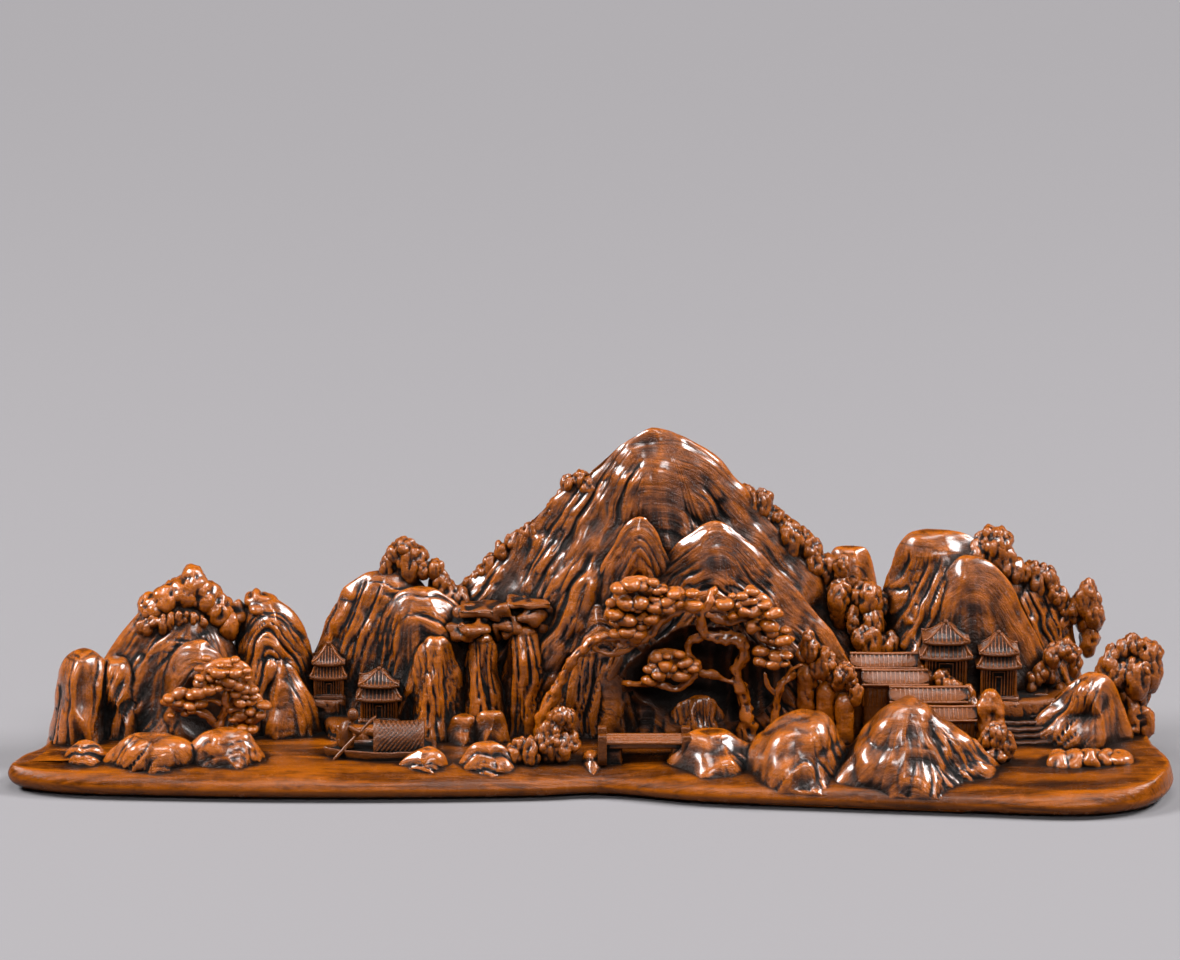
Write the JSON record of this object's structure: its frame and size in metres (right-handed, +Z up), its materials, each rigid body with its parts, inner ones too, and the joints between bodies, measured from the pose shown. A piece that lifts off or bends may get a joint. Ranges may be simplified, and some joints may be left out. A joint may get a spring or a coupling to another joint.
{
  "type": "carved wood brush rest",
  "caption": "One-piece carved wood brush rest shaped as a mountain and river landscape; brushes lie across the valleys between its peaks.",
  "frame": {"origin": "centre of the bounding box on the flat underside, where the rest stands on a desk", "axes": "+Z up, +X along the length of the rest, to the right when facing the carved front, which looks towards -Y"},
  "size_m": [0.198, 0.06, 0.057],
  "materials": {
    "carved_wood": "close-grained wood, waxed and polished by handling, with dark grime left in the cuts"
  },
  "bodies": {
    "root": {"landscape_brush_rest": "carved_wood"}
  },
  "joints": []
}
